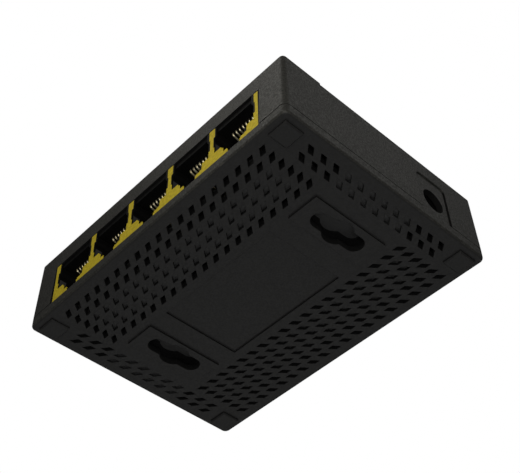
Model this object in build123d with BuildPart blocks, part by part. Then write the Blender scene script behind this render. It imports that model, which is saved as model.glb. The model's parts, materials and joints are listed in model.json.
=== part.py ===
# Five-port desktop ethernet switch, in millimetres.
# X runs along the port side, -Y is the port side, +X the power side, +Z up.
# The origin is on the surface that the feet stand on, under the middle of the case.
# The board hangs under the roof, component side down, so jacks and latches face the base.
import os
from math import radians, tan
from build123d import *

# Ports
port_count = 5
port_pitch = 13.97
port_width = 12.2
mouth_lip = 0.4
end_wall = 1.6
jack_height = 11.7
jack_depth = 15.5
jack_recess = 0.3
cavity_depth = 12.6
shoulder_width = 11.1
shoulder_height = 8.3
shoulder_slope = 0.6
latch_width = 6.5
latch_height = 2.75
latch_depth = 9.0
latch_mouth = 3.7
latch_lip = 1.9
latch_step = 1.1
peg_diameter = 2.2
peg_inset = 8.0

# Contacts
contact_count = 8
contact_pitch = 1.016
contact_width = 0.45
contact_thickness = 0.3
contact_inset = 3.05
contact_stand = 0.5
contact_run = 8.4
contact_drop = 1.95
carrier_wall = 0.45
carrier_ceiling = 1.5
carrier_fit = 0.05
groove_gap = 0.1
groove_depth = 0.5
tail_inset = 11.0
tail_stagger = 2.4
tail_length = 0.8
solder_gap = 0.05

# Case
case_end_margin = 7.85
body_width = 62.0
corner_radius = 1.5
draft_angle = 1.4
wall = 1.8
roof = 2.0
base_thickness = 1.8
parting_height = 2.9
groove_height = 0.25
groove_width = 0.5
edge_round = 0.7
top_round = 0.6
band_width = 10.9
band_rise = 0.55
band_ramp = 0.6
fit_gap = 0.2
lip_thickness = 0.9
lip_height = 1.4

# Feet, panels and wall-mounting keyholes
foot_height = 0.6
foot_size = 5.1
foot_inset = 1.7
foot_round = 0.3
panel_rise = 0.45
panel_width = 8.4
panel_length = 21.4
label_width = 35.2
label_depth = 0.4
keyhole_spacing = 55.0
keyhole_head = 7.2
keyhole_slot = 4.6
keyhole_reach = 5.2
keyhole_lip = 1.6
well_depth = 4.2
well_wall = 1.0
well_gap = 0.4

# Vents
vent_pitch = 3.66
vent_row_pitch = 2.66
vent_width = 1.6
vent_height = 1.75
vent_slant = 1.4
vent_rows = 6
vent_edge = 3.72
vent_end_margin = 10.2
vent_blind_depth = 0.8
side_vent_edge = 3.9
side_vent_pitch = 2.65
side_vent_margin = 10.6
side_vent_open_rows = 3

# Snap arms
snap_width = 4.0
snap_thickness = 1.1
snap_height = 5.5
snap_catch = 0.35
snap_barb_height = 1.6
snap_barb_flat = 0.4
snap_pocket_gap = 0.3
snap_front_offset = 24.0
snap_side_offset = 19.0

# Circuit board and its supports
board_thickness = 1.2
board_gap = 0.4
board_corner = 1.0
tail_space = 2.0
boss_radius = 2.2
boss_depth = 3.0
boss_end_inset = 5.9
screw_row_inset = 8.6
post_row_inset = 18.9
screw_diameter = 2.2
screw_head = 4.0
screw_head_height = 1.4
screw_length = 3.8
screw_fit = 0.05
screw_cross = 0.5
screw_cross_length = 2.4
screw_cross_depth = 0.7
screw_head_chamfer = 0.35
post_pin = 1.8
pin_fit = 0.15

# Power inlet
inlet_inset = 15.8
inlet_drop = 6.35
inlet_hole = 6.35
tab_width = 9.2
tab_round = 1.3
tab_reach = 12.0
tab_gap = 0.25
tab_setback = 0.35
inlet_width = 9.0
inlet_height = 11.0
inlet_length = 14.0
inlet_flange = 3.4
inlet_barrel = 8.2
inlet_bore = 6.3
inlet_bore_depth = 9.6
inlet_pin = 2.1
inlet_pin_root = 1.5
inlet_pin_round = 0.5
inlet_pin_setback = 0.8
spring_width = 2.2
spring_thickness = 0.3
spring_slot_gap = 0.2
spring_setback = 3.2
spring_run = 5.6
terminal_width = 2.4
terminal_thickness = 0.4

# Indicators
led_count = 6
led_pitch = 5.0
led_length = 1.6
led_width = 0.8
led_height = 0.8
led_edge = 1.6
pipe_size = 1.8
pipe_gap = 0.2
pipe_leg = 2.8
pipe_fit = 0.1

# Parts on the board
chip_size = 9.0
chip_height = 0.9
sink_size = 12.0
sink_height = 5.0
sink_base = 1.2
sink_fins = 6
sink_fin = 0.9
magnetics_length = 11.0
magnetics_width = 7.0
magnetics_height = 5.2
magnetics_gap = 2.2
crystal_length = 11.0
crystal_width = 4.6
crystal_height = 3.4
can_height = 7.0
can_diameters = (6.3, 5.0)
coil_size = 6.0
coil_height = 3.0
regulator_length = 5.0
regulator_width = 4.0
regulator_height = 1.5
part_gap = 3.0
part_edge = 0.35
chip_corner = 0.45
coil_corner = 1.0
regulator_edge = 0.2

# Heights and lengths that follow
underside = foot_height
parting = underside + parting_height
plate_top = underside + base_thickness
board_bottom = parting + jack_height
board_top = board_bottom + board_thickness
roof_inside = board_top + tail_space
case_top = roof_inside + roof
band_top = case_top + band_rise
block_width = (port_count - 1) * port_pitch + port_width + 2 * end_wall
body_length = block_width + 2 * case_end_margin
port_face = -body_width / 2
jack_front = port_face + jack_recess
jack_back = jack_front + jack_depth
opening_top = board_bottom + fit_gap
inlet_y = body_width / 2 - inlet_inset
inlet_z = board_bottom - inlet_drop
tab_top = parting + tab_reach


def drawn_in(height):
    # How far the drafted wall has moved inwards at this height.
    return tan(radians(draft_angle)) * (height - parting)


inner_top = drawn_in(board_top) + wall
board_length = body_length - 2 * (inner_top + board_gap)
board_width = body_width - 2 * (inner_top + board_gap)
inlet_front = body_length / 2 - wall - drawn_in(tab_top) - fit_gap
port_places = [(i - (port_count - 1) / 2) * port_pitch for i in range(port_count)]
keyhole_places = [(side * keyhole_spacing / 2, 0) for side in (-1, 1)]


def write(name, label):
    name.part.label = label
    export_step(name.part, f"parts/{label}.step")


os.makedirs("parts", exist_ok=True)


# Base cover
vent_reach = body_length / 2 - vent_end_margin
vent_columns = 2 * int(vent_reach / vent_pitch) + 1
vent_block_y = body_width / 2 - vent_edge - (vent_rows - 1) / 2 * vent_row_pitch
side_vent_x = body_length / 2 - side_vent_edge - side_vent_pitch / 2
side_vent_rows = 2 * int((body_width / 2 - side_vent_margin) / vent_pitch + 0.5)


def long_block(side, through):
    # Places of one block along a long side: the two outer rows, the innermost row
    # and both end columns are cut through, and the rest are shallow recesses.
    places = []
    for column in range(vent_columns):
        for row in range(vent_rows):
            x = (column - (vent_columns - 1) / 2) * vent_pitch
            y = side * (vent_block_y + (row - (vent_rows - 1) / 2) * vent_row_pitch)
            at_end = column in (0, vent_columns - 1)
            at_edge = row in (0, vent_rows - 2, vent_rows - 1)
            if (at_end or at_edge) == through:
                places.append((x, y))
    return places


def short_block(side, through):
    # Places of one block along a short side: only the three rows at each end are open.
    places = []
    for column in range(2):
        for row in range(side_vent_rows):
            x = side * (side_vent_x + (column - 0.5) * side_vent_pitch)
            y = (row - (side_vent_rows - 1) / 2) * vent_pitch
            at_end = row < side_vent_open_rows or row >= side_vent_rows - side_vent_open_rows
            if at_end == through:
                places.append((x, y))
    return places


def long_vent(lean):
    # A parallelogram with level ends, leaning along X.
    half, rise, shift = vent_width / 2, vent_height / 2, lean * vent_slant / 2
    return [(-half - shift, -rise), (half - shift, -rise), (half + shift, rise), (-half + shift, rise)]


def short_vent(lean):
    # The same parallelogram lying on its side, leaning along Y.
    half, rise, shift = vent_height / 2, vent_width / 2, lean * vent_slant / 2
    return [(-half, -rise - shift), (half, -rise + shift), (half, rise + shift), (-half, rise - shift)]


def keyhole_sketch():
    # Round entry for a screw head, with a slot for its shank above and below.
    with Locations(*keyhole_places):
        Circle(keyhole_head / 2)
        SlotCenterToCenter(2 * keyhole_reach, keyhole_slot, rotation=90)


def snap_places():
    # Two arms on the front wall, one near each end of the far wall, one beside the inlet.
    reach_x = body_length / 2 - wall - drawn_in(parting + snap_height) - fit_gap
    reach_y = body_width / 2 - wall - drawn_in(parting + snap_height) - fit_gap
    return [
        Location((-snap_front_offset, reach_y, 0), (0, 0, 90)),
        Location((snap_front_offset, reach_y, 0), (0, 0, 90)),
        Location((-reach_x, -snap_side_offset, 0), (0, 0, 180)),
        Location((-reach_x, snap_side_offset, 0), (0, 0, 180)),
        Location((reach_x, -snap_side_offset, 0), (0, 0, 0)),
    ]


snap_top = parting + snap_height
barb_bottom = snap_top - snap_barb_height
barb_reach = snap_catch + fit_gap + drawn_in(snap_top) - drawn_in(barb_bottom)

with BuildPart() as snap_arm:
    with BuildSketch(Plane.XZ):
        with BuildLine():
            Polyline(
                (0, plate_top),
                (0, barb_bottom),
                (barb_reach, barb_bottom),
                (barb_reach, barb_bottom + snap_barb_flat),
                (0, snap_top),
                (-snap_thickness, snap_top),
                (-snap_thickness, plate_top),
                close=True,
            )
        make_face()
    extrude(amount=snap_width / 2, both=True)

with BuildPart() as inlet_tab:
    with BuildSketch(Plane.XY.offset(parting - groove_height)):
        RectangleRounded(body_length - 2 * tab_setback, body_width - 2 * tab_setback, corner_radius)
    extrude(amount=tab_reach + groove_height, taper=draft_angle)
    with BuildSketch(Plane.XY.offset(parting - groove_height)):
        RectangleRounded(body_length - 2 * wall, body_width - 2 * wall, corner_radius / 2)
    extrude(amount=tab_reach + groove_height, taper=draft_angle, mode=Mode.SUBTRACT)
    with BuildSketch(Plane.YZ) as tab_face:
        with Locations((inlet_y, parting - groove_height)):
            Rectangle(tab_width, tab_reach + groove_height, align=(Align.CENTER, Align.MIN))
        fillet(tab_face.vertices().group_by(Axis.Y)[-1], tab_round)
    extrude(amount=body_length, mode=Mode.INTERSECT)

with BuildPart() as base_cover:
    with BuildSketch(Plane.XY.offset(underside)):
        RectangleRounded(body_length, body_width, corner_radius)
    extrude(amount=parting_height - groove_height)
    fillet(base_cover.faces().sort_by(Axis.Z)[0].edges(), edge_round)
    with BuildSketch(Plane.XY.offset(plate_top)):
        RectangleRounded(body_length - 2 * groove_width, body_width - 2 * groove_width, corner_radius - groove_width)
    extrude(amount=parting - plate_top)
    lip_inset = 2 * (wall + fit_gap)
    with BuildSketch(Plane.XY.offset(plate_top)):
        RectangleRounded(body_length - lip_inset, body_width - lip_inset, corner_radius / 2)
    extrude(amount=parting + lip_height - plate_top)
    well_inset = lip_inset + 2 * lip_thickness
    with BuildSketch(Plane.XY.offset(plate_top)):
        RectangleRounded(body_length - well_inset, body_width - well_inset, corner_radius / 2)
    extrude(amount=body_width, mode=Mode.SUBTRACT)
    # The lip stops short of the jack block and of the power inlet.
    with BuildSketch(Plane.XY.offset(parting)):
        with Locations((0, port_face)):
            Rectangle(block_width + 2 * fit_gap, 2 * wall + 4 * lip_thickness)
        with Locations((body_length / 2 - wall, inlet_y)):
            Rectangle(2 * wall + 2 * lip_thickness, tab_width + 2 * fit_gap)
    extrude(amount=body_width, mode=Mode.SUBTRACT)
    add(inlet_tab.part)
    with BuildSketch(Plane.YZ.offset(body_length / 2 - 2 * wall)):
        with Locations((inlet_y, inlet_z)):
            Circle(inlet_hole / 2)
    extrude(amount=3 * wall, mode=Mode.SUBTRACT)
    with Locations(*snap_places()):
        add(snap_arm.part)
    # Raised panels under the keyholes, and the sunken field for a label.
    with BuildSketch(Plane.XY.offset(underside - panel_rise)):
        with Locations(*keyhole_places):
            Rectangle(panel_width, panel_length)
    extrude(amount=panel_rise)
    with BuildSketch(Plane.XY.offset(underside)):
        Rectangle(label_width, panel_length)
    extrude(amount=label_depth, mode=Mode.SUBTRACT)
    # Each keyhole opens into a closed well that keeps a screw head off the board.
    panel_face = underside - panel_rise
    hollow_width = keyhole_head + 2 * well_gap
    hollow_length = 2 * keyhole_reach + keyhole_slot + 2 * well_gap
    with BuildSketch(Plane.XY.offset(plate_top)):
        with Locations(*keyhole_places):
            Rectangle(hollow_width + 2 * well_wall, hollow_length + 2 * well_wall)
    extrude(amount=panel_face + well_depth + well_wall - plate_top)
    with BuildSketch(Plane.XY.offset(panel_face + keyhole_lip)):
        with Locations(*keyhole_places):
            Rectangle(hollow_width, hollow_length)
    extrude(amount=well_depth - keyhole_lip, mode=Mode.SUBTRACT)
    with BuildSketch(Plane.XY.offset(panel_face)):
        keyhole_sketch()
    extrude(amount=keyhole_lip, mode=Mode.SUBTRACT)
    # Square pads at the corners, softened where they touch the table.
    foot_x = body_length / 2 - foot_inset - foot_size / 2
    foot_y = body_width / 2 - foot_inset - foot_size / 2
    with BuildSketch():
        with Locations((foot_x, foot_y), (-foot_x, foot_y), (-foot_x, -foot_y), (foot_x, -foot_y)):
            Rectangle(foot_size, foot_size)
    extrude(amount=underside)
    chamfer(base_cover.faces().filter_by(Axis.Z).group_by(Axis.Z)[0].edges(), foot_round)
    # Open vents first, then the shallow ones of the same outline.
    for through, depth in ((True, base_thickness), (False, vent_blind_depth)):
        with BuildSketch(Plane.XY.offset(underside)):
            with Locations(*long_block(-1, through)):
                Polygon(*long_vent(-1))
            with Locations(*long_block(1, through)):
                Polygon(*long_vent(1))
            with Locations(*short_block(1, through)):
                Polygon(*short_vent(-1))
            with Locations(*short_block(-1, through)):
                Polygon(*short_vent(1))
        extrude(amount=depth, mode=Mode.SUBTRACT)

write(base_cover, "base_cover")


# Top housing
boss_x = body_length / 2 - boss_end_inset
screw_y = body_width / 2 - screw_row_inset
post_y = port_face + post_row_inset
screw_places = [(-boss_x, screw_y), (boss_x, screw_y)]
post_places = [(-boss_x, post_y), (boss_x, post_y)]
led_y = board_width / 2 - led_edge
led_places = [((i - (led_count - 1) / 2) * led_pitch, led_y) for i in range(led_count)]
pipe_top = board_bottom - led_height - pipe_gap
pipe_bottom = pipe_top - pipe_leg
window_z = pipe_bottom + pipe_size / 2
window_size = pipe_size + 2 * pipe_fit

band_edge = port_face + band_width


def rounded_case(top):
    # Drafted outer form of the housing up to this height, with its top edge rounded.
    with BuildPart(mode=Mode.PRIVATE) as form:
        with BuildSketch(Plane.XY.offset(parting)):
            RectangleRounded(body_length, body_width, corner_radius)
        extrude(amount=top - parting, taper=draft_angle)
        fillet(form.faces().sort_by(Axis.Z)[-1].edges(), top_round)
    return form.part


# The roof is a little higher in a band along the port side, with a short ramp behind it.
with BuildPart() as port_band:
    add(rounded_case(band_top))
    with BuildSketch(Plane.YZ):
        with BuildLine():
            Polyline(
                (port_face, parting),
                (band_edge + band_ramp, parting),
                (band_edge + band_ramp, case_top),
                (band_edge, band_top),
                (port_face, band_top),
                close=True,
            )
        make_face()
    extrude(amount=body_length, both=True, mode=Mode.INTERSECT)

with BuildPart() as top_housing:
    add(rounded_case(case_top))
    add(port_band.part)
    with BuildSketch(Plane.XY.offset(parting)):
        RectangleRounded(body_length - 2 * wall, body_width - 2 * wall, corner_radius / 2)
    extrude(amount=roof_inside - parting, taper=draft_angle, mode=Mode.SUBTRACT)
    # Mouth for the jack block, open down to the base cover.
    with BuildSketch(Plane.XZ.offset(-port_face - 2 * wall)):
        with Locations((0, parting)):
            Rectangle(block_width + 2 * fit_gap, opening_top - parting, align=(Align.CENTER, Align.MIN))
    extrude(amount=3 * wall, mode=Mode.SUBTRACT)
    # Slot that the tab of the base cover fills.
    with BuildSketch(Plane.YZ.offset(body_length / 2 - 2 * wall)) as tab_slot:
        with Locations((inlet_y, parting)):
            Rectangle(tab_width + 2 * tab_gap, tab_reach + tab_gap, align=(Align.CENTER, Align.MIN))
        fillet(tab_slot.vertices().group_by(Axis.Y)[-1], tab_round + tab_gap)
    extrude(amount=3 * wall, mode=Mode.SUBTRACT)
    # Windows for the light pipe in the front wall.
    with BuildSketch(Plane.XZ.offset(-body_width / 2 + 2 * wall)):
        with Locations(*[(x, window_z) for x, _ in led_places]):
            Rectangle(window_size, window_size)
    extrude(amount=-3 * wall, mode=Mode.SUBTRACT)
    # Pockets that the barbs of the snap arms spring into.
    with Locations(*snap_places()):
        with Locations((0, 0, barb_bottom)):
            Box(
                2 * (barb_reach + snap_pocket_gap),
                snap_width + 2 * snap_pocket_gap,
                snap_barb_height,
                align=(Align.CENTER, Align.CENTER, Align.MIN),
                mode=Mode.SUBTRACT,
            )
    # Screw bosses at the front and locating posts behind the jacks.
    with BuildSketch(Plane.XY.offset(board_top)):
        with Locations(*screw_places, *post_places):
            Circle(boss_radius)
    extrude(amount=tail_space)
    with BuildSketch(Plane.XY.offset(board_bottom)):
        with Locations(*post_places):
            Circle(post_pin / 2)
    extrude(amount=board_thickness)
    with BuildSketch(Plane.XY.offset(board_top)):
        with Locations(*screw_places):
            Circle(screw_diameter / 2 + screw_fit)
    extrude(amount=boss_depth, mode=Mode.SUBTRACT)

write(top_housing, "top_housing")


# Jack block: one yellow moulding with a mouth and a pocket for each port
jack_plane = Plane.XZ.offset(-jack_front)
peg_x = (port_count / 2 - 1) * port_pitch
peg_places = [(-peg_x, jack_front + peg_inset), (peg_x, jack_front + peg_inset)]
pocket_width = port_width + 2 * carrier_wall
pocket_height = jack_height - latch_height


def port_outline():
    # Half of the mouth, from the notch for the latch up to the contact channel.
    half = [
        (0, parting),
        (latch_mouth / 2, parting),
        (latch_mouth / 2, parting + latch_step),
        (latch_width / 2, parting + latch_step),
        (latch_width / 2, parting + latch_height),
        (port_width / 2, parting + latch_height),
        (port_width / 2, parting + shoulder_height),
        (shoulder_width / 2, parting + shoulder_height + shoulder_slope),
        (shoulder_width / 2, board_bottom),
        (0, board_bottom),
    ]
    return half + [(-x, z) for x, z in reversed(half[1:-1])]


with BuildPart() as jack_block:
    with BuildSketch(jack_plane):
        with Locations((0, parting)):
            Rectangle(block_width, jack_height, align=(Align.CENTER, Align.MIN))
    extrude(amount=-jack_depth)
    with BuildSketch(jack_plane):
        with Locations(*[(x, 0) for x in port_places]):
            Polygon(*port_outline())
    extrude(amount=-latch_lip, mode=Mode.SUBTRACT)
    with BuildSketch(jack_plane.offset(-latch_lip)):
        with Locations(*[(x, parting) for x in port_places]):
            Rectangle(latch_width, latch_height, align=(Align.CENTER, Align.MIN))
    extrude(amount=latch_lip - latch_depth, mode=Mode.SUBTRACT)
    # Pocket for the contact carrier, which slides in from behind up to a thin yellow rim.
    with BuildSketch(jack_plane.offset(-mouth_lip)):
        with Locations(*[(x, board_bottom) for x in port_places]):
            Rectangle(pocket_width, pocket_height, align=(Align.CENTER, Align.MAX))
    extrude(amount=mouth_lip - jack_depth, mode=Mode.SUBTRACT)
    with BuildSketch(Plane.XY.offset(board_bottom)):
        with Locations(*peg_places):
            Circle(peg_diameter / 2)
    extrude(amount=board_thickness)

write(jack_block, "jack_block")


# Contact carriers, black linings of the ports, and spring contacts
contact_places = [(i - (contact_count - 1) / 2) * contact_pitch for i in range(contact_count)]
carrier_front = jack_front + mouth_lip
carrier_length = jack_back - carrier_front
ceiling_level = board_bottom - carrier_ceiling
slot_width = contact_width + 2 * groove_gap
slot_length = contact_thickness + 2 * groove_gap
run_height = board_bottom - groove_depth / 2
front_leg = jack_front + contact_inset
spring_height = ceiling_level - contact_stand


def tail_y(index):
    # Tails stand in two rows, odd and even contacts apart.
    return jack_front + tail_inset + (index % 2) * tail_stagger


def lining_outline():
    # The room inside a carrier: the upper part of the mouth, up to the ceiling.
    half = [
        (port_width / 2, parting + latch_height),
        (port_width / 2, parting + shoulder_height),
        (shoulder_width / 2, parting + shoulder_height + shoulder_slope),
        (shoulder_width / 2, ceiling_level),
    ]
    return half + [(-x, z) for x, z in reversed(half)]


for port, port_x in enumerate(port_places, start=1):
    with BuildPart() as contact_carrier:
        with BuildSketch(Plane.XY.offset(board_bottom)):
            with Locations((port_x, carrier_front)):
                Rectangle(pocket_width - 2 * carrier_fit, carrier_length, align=(Align.CENTER, Align.MIN))
        extrude(amount=-pocket_height)
        with BuildSketch(Plane.XZ.offset(-carrier_front)):
            with Locations((port_x, 0)):
                Polygon(*lining_outline())
        extrude(amount=mouth_lip - cavity_depth, mode=Mode.SUBTRACT)
        # Each contact runs back in a groove, and comes through the ceiling at its front.
        with BuildSketch(Plane.XY.offset(board_bottom)):
            for index, offset_x in enumerate(contact_places):
                with Locations((port_x + offset_x, front_leg - slot_length / 2)):
                    groove_length = tail_y(index) + slot_length - front_leg
                    Rectangle(slot_width, groove_length, align=(Align.CENTER, Align.MIN))
        extrude(amount=-groove_depth, mode=Mode.SUBTRACT)
        with BuildSketch(Plane.XY.offset(board_bottom)):
            with Locations(*[(port_x + x, front_leg) for x in contact_places]):
                Rectangle(slot_width, slot_length)
        extrude(amount=-carrier_ceiling, mode=Mode.SUBTRACT)
    write(contact_carrier, f"contact_carrier_{port}")

    with BuildPart() as port_contacts:
        for index, offset_x in enumerate(contact_places):
            with BuildSketch(Plane.YZ.offset(port_x + offset_x)):
                with BuildLine():
                    Polyline(
                        (tail_y(index), board_top + tail_length),
                        (tail_y(index), run_height),
                        (front_leg, run_height),
                        (front_leg, spring_height),
                        (front_leg + contact_run, spring_height - contact_drop),
                    )
                    offset(amount=contact_thickness / 2, side=Side.BOTH, kind=Kind.INTERSECTION)
                make_face()
            extrude(amount=contact_width / 2, both=True)
    write(port_contacts, f"port_contacts_{port}")


# Power inlet: housing, centre pin and sleeve spring
inlet_back = inlet_front - inlet_length
inlet_bottom = board_bottom - inlet_height
spring_front = inlet_front - spring_setback
spring_back = spring_front - spring_run
spring_level = inlet_z + inlet_bore / 2 + spring_thickness
spring_dip = spring_thickness / 2
terminal_x = inlet_back - terminal_thickness / 2

with BuildPart() as dc_jack_body:
    with BuildSketch(Plane.YZ.offset(inlet_front)):
        with Locations((inlet_y, board_bottom)):
            Rectangle(inlet_width, inlet_height, align=(Align.CENTER, Align.MAX))
    extrude(amount=-inlet_flange)
    with BuildSketch(Plane.YZ.offset(inlet_front - inlet_flange)):
        with Locations((inlet_y, inlet_z)):
            Circle(inlet_barrel / 2)
            Rectangle(inlet_barrel, inlet_drop, align=(Align.CENTER, Align.MIN))
    extrude(amount=inlet_flange - inlet_length)
    with BuildSketch(Plane.YZ.offset(inlet_front)):
        with Locations((inlet_y, inlet_z)):
            Circle(inlet_bore / 2)
    extrude(amount=-inlet_bore_depth, mode=Mode.SUBTRACT)
    with BuildSketch(Plane.YZ.offset(inlet_front)):
        with Locations((inlet_y, inlet_z)):
            Circle(inlet_pin_root / 2 + solder_gap)
    extrude(amount=-inlet_length, mode=Mode.SUBTRACT)
    # Slot over the bore, where the sleeve spring lies.
    with BuildSketch(Plane.XY.offset(board_bottom)):
        with Locations((spring_front + spring_slot_gap, inlet_y)):
            Rectangle(
                spring_run + 2 * spring_slot_gap,
                spring_width + 2 * spring_slot_gap,
                align=(Align.MAX, Align.CENTER),
            )
    extrude(amount=-inlet_drop, mode=Mode.SUBTRACT)

with BuildPart() as dc_jack_pin:
    with BuildSketch(Plane.YZ.offset(inlet_front - inlet_pin_setback)):
        with Locations((inlet_y, inlet_z)):
            Circle(inlet_pin / 2)
    extrude(amount=inlet_pin_setback - inlet_bore_depth)
    fillet(dc_jack_pin.edges().filter_by(GeomType.CIRCLE).sort_by(Axis.X)[-1], inlet_pin_round)
    # A thinner root is riveted through the back wall.
    with BuildSketch(Plane.YZ.offset(inlet_front - inlet_bore_depth)):
        with Locations((inlet_y, inlet_z)):
            Circle(inlet_pin_root / 2)
    extrude(amount=inlet_bore_depth - inlet_length)
    # Flat terminal on the back that rises through the board.
    with BuildSketch(Plane.YZ.offset(inlet_back)):
        with Locations((inlet_y, inlet_z - inlet_pin / 2)):
            Rectangle(
                terminal_width,
                board_top + tail_length - inlet_z + inlet_pin / 2,
                align=(Align.CENTER, Align.MIN),
            )
    extrude(amount=-terminal_thickness)

with BuildPart() as dc_jack_spring:
    with BuildSketch(Plane.XZ.offset(-inlet_y)):
        with BuildLine():
            Polyline(
                (spring_front - spring_thickness, spring_level),
                (spring_front - spring_run / 2, spring_level - spring_dip),
                (spring_back + spring_thickness, spring_level + spring_dip),
                (spring_back + spring_thickness, board_top + tail_length),
            )
            offset(amount=spring_thickness / 2, side=Side.BOTH, kind=Kind.INTERSECTION)
        make_face()
    extrude(amount=spring_width / 2, both=True)

write(dc_jack_body, "dc_jack_body")
write(dc_jack_pin, "dc_jack_pin")
write(dc_jack_spring, "dc_jack_spring")


# Circuit board
with BuildPart() as circuit_board:
    with BuildSketch(Plane.XY.offset(board_bottom)):
        RectangleRounded(board_length, board_width, board_corner)
        with Locations(*screw_places):
            Circle(screw_diameter / 2 + pin_fit, mode=Mode.SUBTRACT)
        with Locations(*post_places):
            Circle(post_pin / 2 + pin_fit, mode=Mode.SUBTRACT)
        with Locations(*peg_places):
            Circle(peg_diameter / 2 + pin_fit, mode=Mode.SUBTRACT)
        # Plated holes are filled with solder up to the tail of each contact.
        for port_x in port_places:
            with Locations(*[(port_x + x, tail_y(i)) for i, x in enumerate(contact_places)]):
                Rectangle(
                    contact_width + 2 * solder_gap,
                    contact_thickness + 2 * solder_gap,
                    mode=Mode.SUBTRACT,
                )
        with Locations((terminal_x, inlet_y)):
            Rectangle(
                terminal_thickness + 2 * solder_gap,
                terminal_width + 2 * solder_gap,
                mode=Mode.SUBTRACT,
            )
        with Locations((spring_back + spring_thickness, inlet_y)):
            Rectangle(
                spring_thickness + 2 * solder_gap,
                spring_width + 2 * solder_gap,
                mode=Mode.SUBTRACT,
            )
    extrude(amount=board_thickness)

write(circuit_board, "circuit_board")


# Screws that hold the board to the housing
with BuildPart() as board_screws:
    with BuildSketch(Plane.XY.offset(board_bottom)):
        with Locations(*screw_places):
            Circle(screw_head / 2)
    extrude(amount=-screw_head_height)
    chamfer(board_screws.faces().group_by(Axis.Z)[0].edges(), screw_head_chamfer)
    with BuildSketch(Plane.XY.offset(board_bottom)):
        with Locations(*screw_places):
            Circle(screw_diameter / 2)
    extrude(amount=screw_length)
    with BuildSketch(Plane.XY.offset(board_bottom - screw_head_height)):
        with Locations(*screw_places):
            Rectangle(screw_cross_length, screw_cross)
            Rectangle(screw_cross, screw_cross_length)
    extrude(amount=screw_cross_depth, mode=Mode.SUBTRACT)

write(board_screws, "board_screws")


# Indicators and the clear moulding that carries their light to the front wall
for number, (led_x, _) in enumerate(led_places, start=1):
    with BuildPart() as indicator_led:
        with BuildSketch(Plane.XY.offset(board_bottom)):
            with Locations((led_x, led_y)):
                Rectangle(led_length, led_width)
        extrude(amount=-led_height)
    write(indicator_led, f"indicator_led_{number}")

window_face = body_width / 2 - drawn_in(window_z)
pipe_back = led_y - pipe_size / 2
bar_length = (led_count - 1) * led_pitch + pipe_size

with BuildPart() as light_pipe:
    for led_x, _ in led_places:
        with BuildSketch(Plane.YZ.offset(led_x)):
            with BuildLine():
                Polyline(
                    (pipe_back, pipe_top),
                    (pipe_back, pipe_bottom + pipe_size / 2),
                    (pipe_back + pipe_size / 2, pipe_bottom),
                    (window_face, pipe_bottom),
                    (window_face, pipe_bottom + pipe_size),
                    (pipe_back + pipe_size, pipe_bottom + pipe_size),
                    (pipe_back + pipe_size, pipe_top),
                    close=True,
                )
            make_face()
        extrude(amount=pipe_size / 2, both=True)
    # A bar joins the legs, and a post at each end of it stands against the board.
    with BuildSketch(Plane.XY.offset(pipe_bottom + pipe_size / 2)):
        with Locations((0, pipe_back)):
            Rectangle(bar_length + 2 * pipe_size, pipe_size / 2, align=(Align.CENTER, Align.MIN))
    extrude(amount=pipe_size / 2)
    with BuildSketch(Plane.XY.offset(pipe_bottom + pipe_size / 2)):
        for side in (-1, 1):
            with Locations((side * (bar_length + pipe_size) / 2, pipe_back)):
                Rectangle(pipe_size, pipe_size / 2, align=(Align.CENTER, Align.MIN))
    extrude(amount=board_bottom - pipe_bottom - pipe_size / 2)

write(light_pipe, "light_pipe")


# Parts soldered to the underside of the board
magnetics_y = jack_back + magnetics_gap + magnetics_width / 2
chip_y = magnetics_y + magnetics_width / 2 + part_gap + sink_size / 2
crystal_x = -(sink_size / 2 + part_gap + crystal_length / 2)
can_x = sink_size / 2 + part_gap + can_diameters[0] / 2
coil_y = chip_y + sink_size / 2 + coil_size / 2

for port, port_x in enumerate(port_places, start=1):
    with BuildPart() as line_transformer:
        with BuildSketch(Plane.XY.offset(board_bottom)):
            with Locations((port_x, magnetics_y)):
                Rectangle(magnetics_length, magnetics_width)
        extrude(amount=-magnetics_height)
        chamfer(line_transformer.faces().sort_by(Axis.Z)[0].edges(), part_edge)
    write(line_transformer, f"line_transformer_{port}")

with BuildPart() as switch_chip:
    with BuildSketch(Plane.XY.offset(board_bottom)):
        with Locations((0, chip_y)):
            Rectangle(chip_size, chip_size)
    extrude(amount=-chip_height)
    chamfer(switch_chip.edges().filter_by(Axis.Z), chip_corner)

sink_top = board_bottom - chip_height
with BuildPart() as heat_sink:
    with BuildSketch(Plane.XY.offset(sink_top)):
        with Locations((0, chip_y)):
            Rectangle(sink_size, sink_size)
    extrude(amount=-sink_base)
    with BuildSketch(Plane.XY.offset(sink_top)):
        with Locations((0, chip_y)):
            with GridLocations((sink_size - sink_fin) / (sink_fins - 1), 0, sink_fins, 1):
                Rectangle(sink_fin, sink_size)
    extrude(amount=-sink_height)

with BuildPart() as crystal:
    with BuildSketch(Plane.XY.offset(board_bottom)):
        with Locations((crystal_x, chip_y)):
            SlotOverall(crystal_length, crystal_width)
    extrude(amount=-crystal_height)

for number, diameter in enumerate(can_diameters, start=1):
    can_y = chip_y + (number - 1) * (can_diameters[0] + part_gap)
    with BuildPart() as filter_capacitor:
        with BuildSketch(Plane.XY.offset(board_bottom)):
            with Locations((can_x, can_y)):
                Circle(diameter / 2)
        extrude(amount=-can_height)
        chamfer(filter_capacitor.faces().sort_by(Axis.Z)[0].edges(), part_edge)
    write(filter_capacitor, f"filter_capacitor_{number}")

with BuildPart() as power_inductor:
    with BuildSketch(Plane.XY.offset(board_bottom)):
        with Locations((crystal_x, coil_y)):
            Rectangle(coil_size, coil_size)
    extrude(amount=-coil_height)
    chamfer(power_inductor.edges().filter_by(Axis.Z), coil_corner)

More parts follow.
